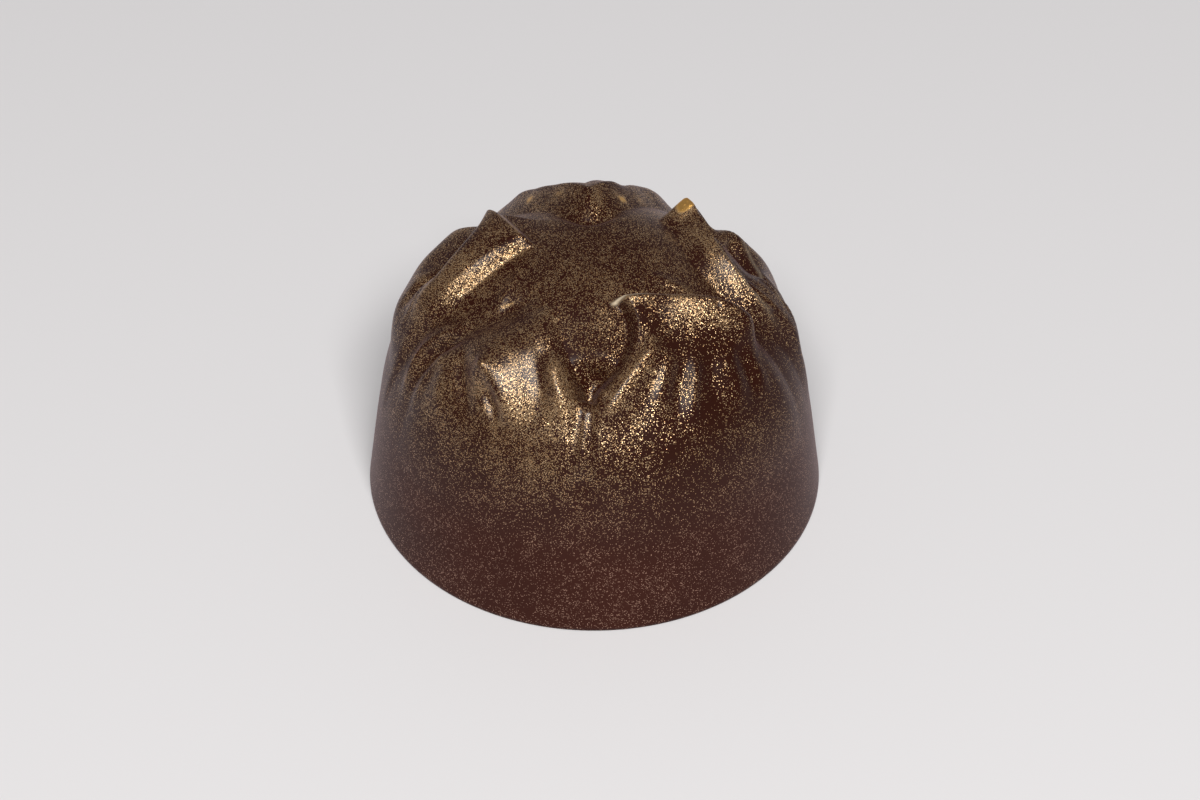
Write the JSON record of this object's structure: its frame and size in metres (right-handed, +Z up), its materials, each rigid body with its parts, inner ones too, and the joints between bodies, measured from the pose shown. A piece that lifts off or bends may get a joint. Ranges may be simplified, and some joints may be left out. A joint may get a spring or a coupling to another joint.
{
  "type": "chocolate praline",
  "caption": "Round moulded dark chocolate praline, a slightly tapered body with a domed crown folded like overlapping petals round a small raised floor, dusted with gold lustre.",
  "frame": {"origin": "centre of the flat base, on the surface that the praline rests on", "axes": "+Z up through the crown; -Y toward the front, where the two front petals meet; +X to the right seen from the front"},
  "size_m": [0.03, 0.03, 0.0201],
  "materials": {
    "dark_chocolate": "satin dark chocolate dusted with fine gold lustre powder"
  },
  "bodies": {
    "root": {"praline": "dark_chocolate"}
  },
  "joints": []
}
